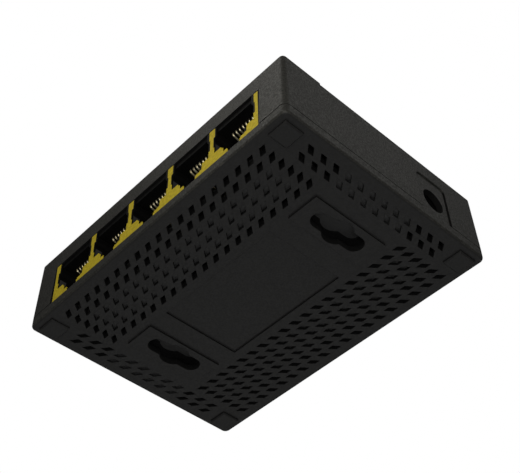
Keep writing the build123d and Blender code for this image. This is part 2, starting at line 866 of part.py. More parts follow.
with BuildPart() as regulator_chip:
    with BuildSketch(Plane.XY.offset(board_bottom)):
        with Locations((crystal_x + coil_size / 2 + part_gap + regulator_length / 2, coil_y)):
            Rectangle(regulator_length, regulator_width)
    extrude(amount=-regulator_height)
    chamfer(regulator_chip.faces().sort_by(Axis.Z)[0].edges(), regulator_edge)

write(switch_chip, "switch_chip")
write(heat_sink, "heat_sink")
write(crystal, "crystal")
write(power_inductor, "power_inductor")
write(regulator_chip, "regulator_chip")
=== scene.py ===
# Looks of a five-port desktop ethernet switch, seen from below its port side.
# Lengths are in metres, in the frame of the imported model: -Y is the port side, +X the power side.
import json

import bmesh
import bpy
from mathutils import Matrix, Vector


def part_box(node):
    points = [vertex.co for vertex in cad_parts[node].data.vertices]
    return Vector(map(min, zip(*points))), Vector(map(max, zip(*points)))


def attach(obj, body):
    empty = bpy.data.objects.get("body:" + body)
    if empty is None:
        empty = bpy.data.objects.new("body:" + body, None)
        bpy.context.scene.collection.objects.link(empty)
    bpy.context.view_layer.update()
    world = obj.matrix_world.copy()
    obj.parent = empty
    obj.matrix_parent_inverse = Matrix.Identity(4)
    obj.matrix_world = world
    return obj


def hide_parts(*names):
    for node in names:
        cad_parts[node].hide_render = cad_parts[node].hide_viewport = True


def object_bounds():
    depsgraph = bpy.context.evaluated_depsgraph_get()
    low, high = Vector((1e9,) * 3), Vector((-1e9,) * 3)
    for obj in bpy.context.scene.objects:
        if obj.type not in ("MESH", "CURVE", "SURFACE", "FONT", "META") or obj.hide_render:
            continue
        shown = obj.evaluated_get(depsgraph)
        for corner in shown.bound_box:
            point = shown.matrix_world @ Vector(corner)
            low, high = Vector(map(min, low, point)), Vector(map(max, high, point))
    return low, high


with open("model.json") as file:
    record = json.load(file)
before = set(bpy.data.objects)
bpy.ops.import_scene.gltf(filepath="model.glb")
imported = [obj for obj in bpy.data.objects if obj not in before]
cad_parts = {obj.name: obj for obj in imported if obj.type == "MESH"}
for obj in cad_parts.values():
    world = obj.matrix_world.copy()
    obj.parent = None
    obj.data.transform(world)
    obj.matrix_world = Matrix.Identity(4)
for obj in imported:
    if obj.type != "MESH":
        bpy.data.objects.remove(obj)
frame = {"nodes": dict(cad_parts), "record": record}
cadLow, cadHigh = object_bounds()
nodes = frame["nodes"]
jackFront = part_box("jack_block")[0].y
mm = 0.001
portCount = 5
portPitch = 13.97 * mm
print("stage: frame loaded,", len(nodes), "nodes")

# Camera, below the port side and turned towards the underside
cameraView = {
    "place": (0.131639, -0.123477, -0.168188),
    "right": (0.681805, 0.731377, -0.015136),
    "up": (0.535266, -0.484659, 0.691802),
    "ahead": (-0.498637, 0.479773, 0.721928),
    "lens": 74.6,
    "sensor": 36.0,
    "nearest": 0.01,
    "farthest": 20.0,
}


def placeCamera(view):
    data = bpy.data.cameras.new("productCamera")
    data.lens = view["lens"]
    data.sensor_width = view["sensor"]
    data.clip_start = view["nearest"]
    data.clip_end = view["farthest"]
    camera = bpy.data.objects.new("productCamera", data)
    right, up, back = Vector(view["right"]), Vector(view["up"]), -Vector(view["ahead"])
    turn = Matrix((right, up, back)).transposed().to_4x4()
    camera.matrix_world = Matrix.Translation(view["place"]) @ turn
    bpy.context.scene.collection.objects.link(camera)
    bpy.context.scene.camera = camera


placeCamera(cameraView)
print("stage: camera placed")

# Stage: a pale floor well below the hovering switch, a white surround and soft lamps
stageLook = {
    "floorLevel": -0.45,
    "floorSize": 6.0,
    "surroundGlow": 0.06,
    "lamps": [
        # name, place, aimed at, size, watts, tint
        ("lowLamp", (0.29, -0.272, -0.372), (0.0, 0.0, 0.0), 0.14, 0.47, (1.0, 1.0, 1.0)),
        ("portLamp", (-0.07, -0.205, 0.335), (0.03, -0.03, 0.01), 0.18, 0.160, (1.0, 0.98, 0.92)),
        ("rightLamp", (0.11, -0.15, -0.01), (0.02, -0.03, 0.01), 0.08, 0.075, (1.0, 0.97, 0.88)),
        ("powerLamp", (0.34, 0.20, 0.40), (0.04, 0.01, 0.01), 0.30, 0.17, (1.0, 0.99, 0.96)),
        ("underLamp", (-0.22, 0.24, -0.40), (0.0, 0.0, 0.0), 0.40, 0.12, (1.0, 1.0, 1.0)),
        ("backLamp", (-0.40, 0.42, 0.55), (0.0, 0.0, 0.01), 0.50, 3.0, (1.0, 0.99, 0.97)),
    ],
}


def makeSurround(glow):
    # white where the camera sees it, and only a faint light on the switch
    world = bpy.data.worlds.new("studioSurround")
    world.use_nodes = True
    tree = world.node_tree
    tree.nodes.clear()
    rays = tree.nodes.new("ShaderNodeLightPath")
    pick = tree.nodes.new("ShaderNodeMixShader")
    out = tree.nodes.new("ShaderNodeOutputWorld")
    for socket, strength in zip(pick.inputs[1:], (glow, 1.0)):
        sky = tree.nodes.new("ShaderNodeBackground")
        sky.inputs["Color"].default_value = (1, 1, 1, 1)
        sky.inputs["Strength"].default_value = strength
        tree.links.new(sky.outputs[0], socket)
    tree.links.new(rays.outputs["Is Camera Ray"], pick.inputs[0])
    tree.links.new(pick.outputs[0], out.inputs["Surface"])
    return world


def makeFloor(size, level):
    half = size / 2
    corners = [(-half, -half, level), (half, -half, level), (half, half, level), (-half, half, level)]
    mesh = bpy.data.meshes.new("paleFloor")
    mesh.from_pydata(corners, [], [(0, 1, 2, 3)])
    floor = bpy.data.objects.new("paleFloor", mesh)
    bpy.context.scene.collection.objects.link(floor)
    return floor


def hangLamp(name, place, aim, size, watts, tint):
    data = bpy.data.lights.new(name, "AREA")
    data.size = size
    data.energy = watts
    data.color = tint
    lamp = bpy.data.objects.new(name, data)
    lamp.location = place
    lamp.rotation_euler = (Vector(aim) - Vector(place)).to_track_quat("-Z", "Y").to_euler()
    lamp.visible_camera = False
    bpy.context.scene.collection.objects.link(lamp)


bpy.context.scene.view_settings.view_transform = "Standard"
bpy.context.scene.world = makeSurround(stageLook["surroundGlow"])
paleFloor = makeFloor(stageLook["floorSize"], stageLook["floorLevel"])
for row in stageLook["lamps"]:
    hangLamp(*row)
print("stage: floor, surround and lamps made")


# Node helpers that every finish below is built from
def startFinish(name, roughness, metallic=0.0, specular=0.5):
    finish = bpy.data.materials.new(name)
    finish.use_nodes = True
    tree = finish.node_tree
    shader = tree.nodes["Principled BSDF"]
    shader.inputs["Roughness"].default_value = roughness
    shader.inputs["Metallic"].default_value = metallic
    shader.inputs["Specular IOR Level"].default_value = specular
    place = tree.nodes.new("ShaderNodeTexCoord").outputs["Object"]
    return finish, tree, shader, place


def noise(tree, place, grain, detail=2.0):
    # grain is the size of one speck
    node = tree.nodes.new("ShaderNodeTexNoise")
    node.inputs["Scale"].default_value = 1 / grain
    node.inputs["Detail"].default_value = detail
    tree.links.new(place, node.inputs["Vector"])
    return node.outputs["Fac"]


def ramp(tree, factor, ends, tones):
    # runs from the first tone to the second while the factor goes from one end to the other
    node = tree.nodes.new("ShaderNodeValToRGB")
    for element, position, tone in zip(node.color_ramp.elements, ends, tones):
        element.position = position
        element.color = (*tone, 1) if isinstance(tone, tuple) else (tone, tone, tone, 1)
    tree.links.new(factor, node.inputs["Fac"])
    return node.outputs["Color"]


def maths(tree, operation, first, second):
    node = tree.nodes.new("ShaderNodeMath")
    node.operation = operation
    for socket, value in zip(node.inputs, (first, second)):
        if isinstance(value, (int, float)):
            socket.default_value = value
        else:
            tree.links.new(value, socket)
    return node.outputs[0]


def mixed(tree, factor, first, second):
    node = tree.nodes.new("ShaderNodeMix")
    node.data_type = "RGBA"
    tree.links.new(factor, node.inputs["Factor"])
    # sockets for numbers and vectors come before those for colours
    colours, result = node.inputs[6:8], node.outputs[2]
    for socket, value in zip(colours, (first, second)):
        if isinstance(value, tuple):
            socket.default_value = (*value, 1)
        else:
            tree.links.new(value, socket)
    return result


def axes(tree, vector):
    node = tree.nodes.new("ShaderNodeSeparateXYZ")
    tree.links.new(vector, node.inputs[0])
    return node.outputs


def facingOf(tree):
    # which way the surface faces, along the object's own axes
    return axes(tree, tree.nodes["Texture Coordinate"].outputs["Normal"])


def relief(tree, shader, height, depth, rounding=0.0, samples=6):
    bump = tree.nodes.new("ShaderNodeBump")
    bump.inputs["Distance"].default_value = depth
    tree.links.new(height, bump.inputs["Height"])
    if rounding:
        bevel = tree.nodes.new("ShaderNodeBevel")
        bevel.inputs["Radius"].default_value = rounding
        bevel.samples = samples
        tree.links.new(bevel.outputs["Normal"], bump.inputs["Normal"])
    tree.links.new(bump.outputs["Normal"], shader.inputs["Normal"])


# Masks are 1 where they hold and 0 elsewhere
def both(tree, first, second):
    return maths(tree, "MULTIPLY", first, second)


def either(tree, first, second):
    return maths(tree, "MAXIMUM", first, second)


def inverse(tree, mask):
    return maths(tree, "SUBTRACT", 1, mask)


def under(tree, value, limit):
    return maths(tree, "LESS_THAN", value, limit)


def over(tree, value, limit):
    return maths(tree, "GREATER_THAN", value, limit)


def between(tree, value, low, high):
    return both(tree, over(tree, value, low), under(tree, value, high))


def within(tree, value, limit):
    return under(tree, maths(tree, "ABSOLUTE", value, 0), limit)


def reach(tree, across, along):
    squares = [maths(tree, "MULTIPLY", part, part) for part in (across, along)]
    return maths(tree, "SQRT", maths(tree, "ADD", *squares), 0)


# Moulded plastic of the case. The outer faces have a spark-eroded grain, finer and flatter on the
# underside, which is painted a darker tone than the sides: painted shade. Walls of vents, steps and keyholes,
# the faces inside, the power inlet and the floor of a keyhole well outside the keyhole's own outline are
# painted nearly black: painted shade. The floors of shallow vents and keyhole wells are painted paler:
# painted light.
casePlastic = {
    # painted shade: the cover's downward faces take a darker tone than the sides of the same plastic
    "shadedCoverDark": (0.0176, 0.0176, 0.0176),
    "shadedCoverLight": (0.0188, 0.0188, 0.0187),
    "housingDark": (0.0245, 0.0242, 0.0218),
    "housingLight": (0.0430, 0.0425, 0.0384),
    "toneEnds": (0.36, 0.64),
    "speckTone": (0.062, 0.060, 0.054),
    "speckEnds": (0.60, 0.72),
    "patchEnds": (0.42, 0.62),
    # painted shade: nearly black on walls, inside faces, the power inlet and well floors beside the keyholes
    "paintedShadeTone": (0.0020, 0.0020, 0.0020),
    # painted light: floors of shallow vents and keyhole wells are made paler than the underside to cancel the
    # shade in them
    "paintedLightBlindTone": (0.0370, 0.0370, 0.0370),
    "paintedLightWellTone": (0.0500, 0.0500, 0.0500),
    "grain": 0.42 * mm,
    "speckGrain": 0.55 * mm,
    "patch": 12 * mm,
    "grainShare": 0.7,  # of grain in the cover's tone, and the rest is patches
    "roughness": 0.50,
    "wear": 0.10,
    "wearEnds": (0.35, 0.70),
    "specular": 0.33,
    "grainDepth": 0.030 * mm,
    "coverGrainDepth": 0.008 * mm,
    "edgeRound": 0.14 * mm,
    "outerHalf": (cadHigh.x - 1.45 * mm, cadHigh.y - 1.45 * mm),  # inside the cover's rim
    "innerHalf": (cadHigh.x - 1.7 * mm, cadHigh.y - 0.40 * mm),  # inside the housing's walls
    "innerTop": 16.5 * mm,
    "openingShare": 0.9,  # of a side's inner half, past which its openings don't reach
    "blindLevel": 1.0 * mm,  # floors of shallow vents lie above this
    "wellLevel": 3.9 * mm,  # and floors of the keyhole wells above this
    "shallowX": 32 * mm,  # vents beyond this are shallow, as far out as shallowY
    "shallowY": 11 * mm,
    "steepLimit": 0.6,  # of a face's direction along an axis, below which the face stands along it
    "rimLimit": 0.8,
    "keyholeX": 27.5 * mm,  # keyholes lie on both sides of the middle
    "keyholeHead": 3.6 * mm,
    "keyholeSlot": 2.3 * mm,
    "keyholeReach": 5.2 * mm,
    "inletPlace": (15.2 * mm, 8.85 * mm),
    "inletHole": 3.25 * mm,
}


def keyholeMask(tree, x, y):
    across = maths(tree, "SUBTRACT", maths(tree, "ABSOLUTE", x, 0), casePlastic["keyholeX"])
    beyond = maths(tree, "SUBTRACT", maths(tree, "ABSOLUTE", y, 0), casePlastic["keyholeReach"])
    along = maths(tree, "MAXIMUM", beyond, 0)
    head = under(tree, reach(tree, across, y), casePlastic["keyholeHead"])
    slot = under(tree, reach(tree, across, along), casePlastic["keyholeSlot"])
    return either(tree, head, slot)


def coverMasks(tree, place, facing):
    # where the cover gets painted shade (walls, the power inlet and the well floors beside the keyholes), a
    # sunken floor, a keyhole's well or the outer rim
    look = casePlastic
    x, y, z = axes(tree, place)
    facingX, facingZ = facing[0], facing[2]
    halfX, halfY = look["outerHalf"]
    inside = both(tree, within(tree, x, halfX), within(tree, y, halfY))
    steep = within(tree, facingZ, look["steepLimit"])
    # end walls of the shallow vents near the two ends are kept out of the painted shade, and are as pale as
    # their floors
    ends = inverse(tree, within(tree, x, look["shallowX"]))
    turned = inverse(tree, within(tree, facingX, look["steepLimit"]))
    shallow = both(tree, both(tree, ends, turned), within(tree, y, look["shallowY"]))
    steep = both(tree, steep, inverse(tree, shallow))
    well = over(tree, z, look["wellLevel"])
    # painted shadow: the floor of a keyhole well outside the keyhole's outline
    wellFloorShadow = both(tree, well, inverse(tree, keyholeMask(tree, x, y)))
    shadeMask = both(tree, inside, either(tree, steep, wellFloorShadow))
    # painted shade on the walls of the power inlet too
    offCentre = [maths(tree, "SUBTRACT", part, middle) for part, middle in zip((y, z), look["inletPlace"])]
    inlet = under(tree, reach(tree, *offCentre), look["inletHole"])
    shadeMask = either(tree, shadeMask, both(tree, inlet, over(tree, x, 0)))
    blind = both(tree, inside, over(tree, z, look["blindLevel"]))
    rim = both(tree, inverse(tree, inside), within(tree, facingZ, look["rimLimit"]))
    return shadeMask, blind, well, rim


def housingShadeMask(tree, place, facing):
    # painted shade: everything inside, and the walls of the openings in the port side and in the two ends,
    # painted nearly black
    look = casePlastic
    x, y, z = axes(tree, place)
    # faces that don't point along an axis: an opening's walls, but not the outer face round it
    offX, offY, offZ = (within(tree, part, look["steepLimit"]) for part in facing)
    portWall, endWall = offY, both(tree, offX, offZ)
    halfX, halfY = look["innerHalf"]
    shadeMask = both(tree, within(tree, x, halfX), within(tree, y, halfY))
    for wall, along, half in ((portWall, x, halfX), (endWall, y, halfY)):
        shadeMask = either(tree, shadeMask, both(tree, wall, within(tree, along, half * look["openingShare"])))
    return both(tree, shadeMask, under(tree, z, look["innerTop"]))


def finishCase(tree, shader, tone, shadeMask, grain, depth):
    look = casePlastic
    # painted shade: the masked faces take the nearly black tone, and full roughness
    tree.links.new(mixed(tree, shadeMask, tone, look["paintedShadeTone"]), shader.inputs["Base Color"])
    rough, wear = look["roughness"], look["wear"]
    worn = ramp(tree, grain, look["wearEnds"], (rough + wear, rough - wear))
    tree.links.new(mixed(tree, shadeMask, worn, (1.0, 1.0, 1.0)), shader.inputs["Roughness"])
    relief(tree, shader, grain, depth, look["edgeRound"])


def sideTone(tree, place, grain):
    # grained, with pale specks that come in patches
    look = casePlastic
    tone = ramp(tree, grain, look["toneEnds"], (look["housingDark"], look["housingLight"]))
    specks = ramp(tree, noise(tree, place, look["speckGrain"], detail=0.0), look["speckEnds"], (0.0, 1.0))
    patch = ramp(tree, noise(tree, place, look["patch"]), look["patchEnds"], (0.0, 1.0))
    return mixed(tree, both(tree, specks, patch), tone, look["speckTone"])


def coverPlastic():
    look = casePlastic
    finish, tree, shader, place = startFinish("coverPlastic", look["roughness"], specular=look["specular"])
    grain = noise(tree, place, look["grain"], detail=3.0)
    patch = noise(tree, place, look["patch"])
    share = look["grainShare"]
    grainPart, patchPart = maths(tree, "MULTIPLY", grain, share), maths(tree, "MULTIPLY", patch, 1 - share)
    blend = maths(tree, "ADD", grainPart, patchPart)
    # painted shade: a darker tone on the downward faces, while the cover's side rim takes the housing's tone
    # below
    tone = ramp(tree, blend, look["toneEnds"], (look["shadedCoverDark"], look["shadedCoverLight"]))
    shadeMask, blind, well, rim = coverMasks(tree, place, facingOf(tree))
    # painted light on the floors of shallow vents and of keyhole wells
    tone = mixed(tree, blind, tone, mixed(tree, well, look["paintedLightBlindTone"], look["paintedLightWellTone"]))
    tone = mixed(tree, rim, tone, sideTone(tree, place, grain))
    finishCase(tree, shader, tone, shadeMask, grain, look["coverGrainDepth"])
    return finish


def housingPlastic():
    look = casePlastic
    finish, tree, shader, place = startFinish("housingPlastic", look["roughness"], specular=look["specular"])
    grain = noise(tree, place, look["grain"], detail=3.0)
    shadeMask = housingShadeMask(tree, place, facingOf(tree))
    finishCase(tree, shader, sideTone(tree, place, grain), shadeMask, grain, look["grainDepth"])
    return finish


# Jack housing: a yellow face, with painted shade: everything behind it is painted black, and so are margins
# beside each mouth and at the corners of its pocket for the latch. Past its two ends the face has the tone of
# the case.
jackPlastic = {
    "yellowDark": (0.64, 0.49, 0.028),
    "yellowLight": (0.80, 0.63, 0.040),
    "toneEnds": (0.35, 0.65),
    # painted shade inside the jack and beside its mouths
    "black": (0.004, 0.004, 0.004),
    "faceEnd": jackFront + 0.12 * mm,
    "margins": [
        # from, to, lowest, highest, in millimetres: painted shade, black, between these places across a mouth
        (-5.92, 6.28, 8.9, 17.0),
        (-6.36, 6.57, 8.9, 12.3),
        (3.00, 3.96, 5.2, 7.1),
    ],
    "yellowHalf": 35.4 * mm,
    "grain": 0.7 * mm,
    "grainDepth": 0.008 * mm,
    "edgeRound": 0.10 * mm,
    "roughness": 0.55,
    "specular": 0.12,
}


def paintedShadePart(tree, place):
    # where the face is painted black as shade: behind its front, and in the margins of each mouth
    x, y, z = axes(tree, place)
    nearest = maths(tree, "ROUND", maths(tree, "DIVIDE", x, portPitch), 0)
    across = maths(tree, "SUBTRACT", x, maths(tree, "MULTIPLY", nearest, portPitch))
    black = over(tree, y, jackPlastic["faceEnd"])
    for left, right, low, high in jackPlastic["margins"]:
        spot = both(tree, between(tree, across, left * mm, right * mm), between(tree, z, low * mm, high * mm))
        black = either(tree, black, spot)
    return black


def jackFinish(name, withShadeAndEnds):
    look = jackPlastic
    finish, tree, shader, place = startFinish(name, look["roughness"], specular=look["specular"])
    grain = noise(tree, place, look["grain"])
    tone = ramp(tree, grain, look["toneEnds"], (look["yellowDark"], look["yellowLight"]))
    if withShadeAndEnds:
        # painted shade: black behind the face and in the margins of the mouths
        tone = mixed(tree, paintedShadePart(tree, place), tone, look["black"])
        inner = within(tree, axes(tree, place)[0], look["yellowHalf"])
        tone = mixed(tree, inner, casePlastic["housingDark"], tone)
    tree.links.new(tone, shader.inputs["Base Color"])
    relief(tree, shader, grain, look["grainDepth"], look["edgeRound"])
    return finish


# Carriers and the power jack: black, with a patch of painted light, grey, on low faces beside each mouth
insertPlastic = {
    "tones": (0.0025, 0.0045),
    "toneEnds": (0.35, 0.65),
    # painted light: grey where light falls in through each mouth
    "litPatchTone": (0.050, 0.050, 0.052),
    "litPatchTop": 10.4 * mm,
    "litPatchDepth": 2.2 * mm,
    "litPatchFacing": 0.5,
    "grain": 0.5 * mm,
    "grainDepth": 0.006 * mm,
    "edgeRound": 0.05 * mm,
    "roughness": 0.60,
    "specular": 0.06,
}


def insertFinish():
    look = insertPlastic
    finish, tree, shader, place = startFinish("insertBlack", look["roughness"], specular=look["specular"])
    grain = noise(tree, place, look["grain"], detail=3.0)
    tone = ramp(tree, grain, look["toneEnds"], look["tones"])
    y, z = axes(tree, place)[1:3]
    low = both(tree, under(tree, z, look["litPatchTop"]), over(tree, facingOf(tree)[0], look["litPatchFacing"]))
    # painted light: low faces turned towards +X, near the front
    litPatch = both(tree, low, under(tree, y, jackFront + look["litPatchDepth"]))
    tree.links.new(mixed(tree, litPatch, tone, look["litPatchTone"]), shader.inputs["Base Color"])
    relief(tree, shader, grain, look["grainDepth"], look["edgeRound"])
    return finish


# Plain finishes: name, dark tone, light tone, speck, relief depth, roughness, metallic, specular
finishTable = {
    "contact": ("contactGold", (0.78, 0.68, 0.42), (0.96, 0.88, 0.62), 0.6 * mm, 0.004 * mm, 0.34, 1.0, 0.5),
    "plated": ("platedNickel", (0.52, 0.51, 0.49), (0.72, 0.71, 0.69), 0.5 * mm, 0.004 * mm, 0.30, 1.0, 0.5),
    "board": ("boardGreen", (0.003, 0.01, 0.005), (0.005, 0.017, 0.008), 1.2 * mm, 0.01 * mm, 0.38, 0.0, 0.3),
    "steel": ("screwSteel", (0.33, 0.33, 0.34), (0.50, 0.50, 0.51), 0.4 * mm, 0.006 * mm, 0.36, 1.0, 0.5),
    "chip": ("chipEpoxy", 0.012, 0.022, 0.25 * mm, 0.010 * mm, 0.55, 0.0, 0.4),
    "sink": ("sinkAluminium", (0.30, 0.30, 0.31), (0.44, 0.44, 0.45), 0.5 * mm, 0.006 * mm, 0.42, 1.0, 0.5),
    "ferrite": ("ferriteGrey", 0.030, 0.055, 0.30 * mm, 0.016 * mm, 0.72, 0.0, 0.3),
    "can": ("canAluminium", (0.50, 0.50, 0.51), (0.66, 0.66, 0.67), 0.8 * mm, 0.004 * mm, 0.32, 1.0, 0.5),
    "clear": ("pipeClear", (0.62, 0.64, 0.62), (0.74, 0.76, 0.74), 0.9 * mm, 0.004 * mm, 0.22, 0.0, 0.5),
    "led": ("ledWhite", (0.60, 0.62, 0.52), (0.75, 0.76, 0.66), 0.4 * mm, 0.004 * mm, 0.35, 0.0, 0.5),
}

# How the plain finishes vary: their roughness changes in patches of several specks
plainWear = {
    "toneEnds": (0.35, 0.65),
    "wearEnds": (0.3, 0.7),
    "smoother": 0.06,
    "rougher": 0.08,
    "specksInPatch": 5,
    "edgeRound": 0.05 * mm,
}


def plainFinish(name, dark, light, grain, depth, roughness, metallic, specular):
    look = plainWear
    finish, tree, shader, place = startFinish(name, roughness, metallic, specular)
    specks = noise(tree, place, grain, detail=3.0)
    tree.links.new(ramp(tree, specks, look["toneEnds"], (dark, light)), shader.inputs["Base Color"])
    patches = noise(tree, place, grain * look["specksInPatch"])
    rough = ramp(tree, patches, look["wearEnds"], (roughness - look["smoother"], roughness + look["rougher"]))
    tree.links.new(rough, shader.inputs["Roughness"])
    relief(tree, shader, specks, depth, look["edgeRound"])
    return finish


# Floor paper, which also shines for the camera itself, so that it looks pale from every side
floorPaper = {
    "tones": ((0.78, 0.78, 0.77), (0.82, 0.82, 0.81)),
    "toneEnds": (0.2, 0.8),
    "grain": 0.05,
    "roughness": 0.9,
    "shine": 0.75,
}


def paperFinish():
    look = floorPaper
    finish, tree, shader, place = startFinish("floorPaper", look["roughness"])
    tone = ramp(tree, noise(tree, place, look["grain"]), look["toneEnds"], look["tones"])
    tree.links.new(tone, shader.inputs["Base Color"])
    tree.links.new(tone, shader.inputs["Emission Color"])
    seenDirectly = tree.nodes.new("ShaderNodeLightPath").outputs["Is Camera Ray"]
    tree.links.new(maths(tree, "MULTIPLY", seenDirectly, look["shine"]), shader.inputs["Emission Strength"])
    return finish


nodeFinish = {"base_cover": coverPlastic(), "top_housing": housingPlastic()}
finishes = {key: plainFinish(*row) for key, row in finishTable.items()}
finishes["jack"] = jackFinish("jackYellow", True)
finishes["insert"] = insertFinish()
print("stage: finishes made")


def paint(piece, finish):
    piece.data.materials.clear()
    piece.data.materials.append(finish)


for row in frame["record"]["subparts"]:
    nodeFinish.setdefault(row["node"], finishes.get(row["material_slot"]))
for name, piece in nodes.items():
    paint(piece, nodeFinish[name])
paint(paleFloor, paperFinish())
print("stage: nodes painted")

# Repeats are grown by Geometry Nodes: an item in a row, and that row again in groups, along X
gridSockets = [
    ("Item Count", "NodeSocketInt"),
    ("Item Pitch", "NodeSocketFloat"),
    ("Group Count", "NodeSocketInt"),
    ("Group Pitch", "NodeSocketFloat"),
]
wireSockets = [
    ("Wire Width", "NodeSocketFloat"),
    ("Wire Thickness", "NodeSocketFloat"),
    ("Bend Radius", "NodeSocketFloat"),
]


def socketOf(tree, name):
    return next(item.identifier for item in tree.interface.items_tree if item.name == name)


def startTree(name, sockets):
    tree = bpy.data.node_groups.new(name, "GeometryNodeTree")
    tree.interface.new_socket("Geometry", in_out="INPUT", socket_type="NodeSocketGeometry")
    tree.interface.new_socket("Geometry", in_out="OUTPUT", socket_type="NodeSocketGeometry")
    for label, kind in sockets:
        tree.interface.new_socket(label, in_out="INPUT", socket_type=kind)
    return tree, tree.nodes.new("NodeGroupInput").outputs


def rowOf(tree, shape, count, pitch):
    # copies of a shape along X, a pitch apart and centred on it
    step = tree.nodes.new("ShaderNodeCombineXYZ")
    tree.links.new(pitch, step.inputs["X"])
    line = tree.nodes.new("GeometryNodeMeshLine")
    line.mode = "OFFSET"
    tree.links.new(count, line.inputs["Count"])
    tree.links.new(step.outputs[0], line.inputs["Offset"])
    span = maths(tree, "MULTIPLY", maths(tree, "SUBTRACT", count, 1), pitch)
    shift = tree.nodes.new("ShaderNodeCombineXYZ")
    tree.links.new(maths(tree, "MULTIPLY", span, -0.5), shift.inputs["X"])
    move = tree.nodes.new("GeometryNodeTransform")
    tree.links.new(line.outputs[0], move.inputs["Geometry"])
    tree.links.new(shift.outputs[0], move.inputs["Translation"])
    copies = tree.nodes.new("GeometryNodeInstanceOnPoints")
    tree.links.new(move.outputs[0], copies.inputs["Points"])
    tree.links.new(shape, copies.inputs["Instance"])
    return copies.outputs[0]


def endTree(tree, given, shape, finish):
    row = rowOf(tree, shape, given["Item Count"], given["Item Pitch"])
    groups = rowOf(tree, row, given["Group Count"], given["Group Pitch"])
    real = tree.nodes.new("GeometryNodeRealizeInstances")
    coat = tree.nodes.new("GeometryNodeSetMaterial")
    coat.inputs["Material"].default_value = finish
    result = tree.nodes.new("NodeGroupOutput")
    tree.links.new(groups, real.inputs[0])
    tree.links.new(real.outputs[0], coat.inputs["Geometry"])
    tree.links.new(coat.outputs[0], result.inputs["Geometry"])
    return tree


def gridTree(finish):
    tree, given = startTree("partGrid", gridSockets)
    return endTree(tree, given, given["Geometry"], finish)


def wireTree(finish, bendSteps=5):
    # edges become wires of flat section, with their corners rounded
    tree, given = startTree("bentWires", gridSockets + wireSockets)
    curve = tree.nodes.new("GeometryNodeMeshToCurve")
    tree.links.new(given["Geometry"], curve.inputs[0])
    bends = tree.nodes.new("GeometryNodeFilletCurve")
    bends.mode = "POLY"
    bends.inputs["Count"].default_value = bendSteps
    bends.inputs["Limit Radius"].default_value = True
    tree.links.new(curve.outputs[0], bends.inputs["Curve"])
    tree.links.new(given["Bend Radius"], bends.inputs["Radius"])
    upright = tree.nodes.new("GeometryNodeSetCurveNormal")
    upright.mode = "FREE"
    upright.inputs["Normal"].default_value = (1, 0, 0)
    tree.links.new(bends.outputs[0], upright.inputs["Curve"])
    section = tree.nodes.new("GeometryNodeCurvePrimitiveQuadrilateral")
    tree.links.new(given["Wire Width"], section.inputs["Width"])
    tree.links.new(given["Wire Thickness"], section.inputs["Height"])
    sweep = tree.nodes.new("GeometryNodeCurveToMesh")
    sweep.inputs["Fill Caps"].default_value = True
    tree.links.new(upright.outputs[0], sweep.inputs["Curve"])
    tree.links.new(section.outputs[0], sweep.inputs["Profile Curve"])
    return endTree(tree, given, sweep.outputs[0], finish)


def settled(piece, tree, values):
    # runs the tree on a piece and keeps its result as a plain mesh
    modifier = piece.modifiers.new("build", "NODES")
    modifier.node_group = tree
    for label, value in values.items():
        modifier[socketOf(tree, label)] = value
    bpy.context.view_layer.update()
    made = bpy.data.meshes.new_from_object(piece.evaluated_get(bpy.context.evaluated_depsgraph_get()))
    piece.modifiers.clear()
    piece.data = made
    made.name = piece.name
    return piece


def linked(name, mesh):
    piece = bpy.data.objects.new(name, mesh)
    bpy.context.scene.collection.objects.link(piece)
    return piece


def wireShape(name, paths):
    points, edges = [], []
    for path in paths:
        start = len(points)
        points += path
        edges += [(i, i + 1) for i in range(start, len(points) - 1)]
    mesh = bpy.data.meshes.new(name)
    mesh.from_pydata(points, edges, [])
    return linked(name, mesh)


def blockShape(name, blocks, rounding):
    # blocks with rounded edges, each given by its middle and its size
    shape = bmesh.new()
    for middle, size in blocks:
        for vertex in bmesh.ops.create_cube(shape, size=1.0)["verts"]:
            vertex.co = Vector([a * b + c for a, b, c in zip(vertex.co, size, middle)])
    bmesh.ops.bevel(shape, geom=shape.edges[:], offset=rounding, segments=2, affect="EDGES", profile=0.5)
    mesh = bpy.data.meshes.new(name)
    shape.to_mesh(mesh)
    shape.free()
    return linked(name, mesh)


# Bent leads on the -Y and +Y sides of the parts that hang under the board
leadRows = {
    "wireThickness": 0.16 * mm,
    "bendRadius": 0.12 * mm,
    "reach": 0.75 * mm,
    "foot": 0.55 * mm,
    "sunk": 0.30 * mm,
    "rows": [
        # piece, middle node, leads on a side, pitch, groups, their pitch, width, height on the body
        ("transformerPins", "line_transformer_3", 6, 1.60 * mm, portCount, portPitch, 0.45 * mm, 0.55),
        ("chipLeads", "switch_chip", 12, 0.65 * mm, 1, 0.0, 0.25 * mm, 0.45),
        ("regulatorLeads", "regulator_chip", 4, 1.27 * mm, 1, 0.0, 0.40 * mm, 0.45),
    ],
}


def makeLeads(name, node, count, pitch, groups, groupPitch, width, share):
    look = leadRows
    low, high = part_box(node)
    x = (low.x + high.x) / 2
    level = low.z + share * (high.z - low.z)
    landing = high.z - look["wireThickness"] / 2
    paths = []
    for side, wall in ((-1, low.y), (1, high.y)):
        bend = wall + side * look["reach"]
        paths.append([
            (x, wall - side * look["sunk"], level),
            (x, bend, level),
            (x, bend, landing),
            (x, bend + side * look["foot"], landing),
        ])
    piece = settled(wireShape(name, paths), wireTree(finishes["plated"]), {
        "Item Count": count,
        "Item Pitch": pitch,
        "Group Count": groups,
        "Group Pitch": groupPitch,
        "Wire Width": width,
        "Wire Thickness": look["wireThickness"],
        "Bend Radius": look["bendRadius"],
    })
    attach(piece, "root")


for row in leadRows["rows"]:
    makeLeads(*row)

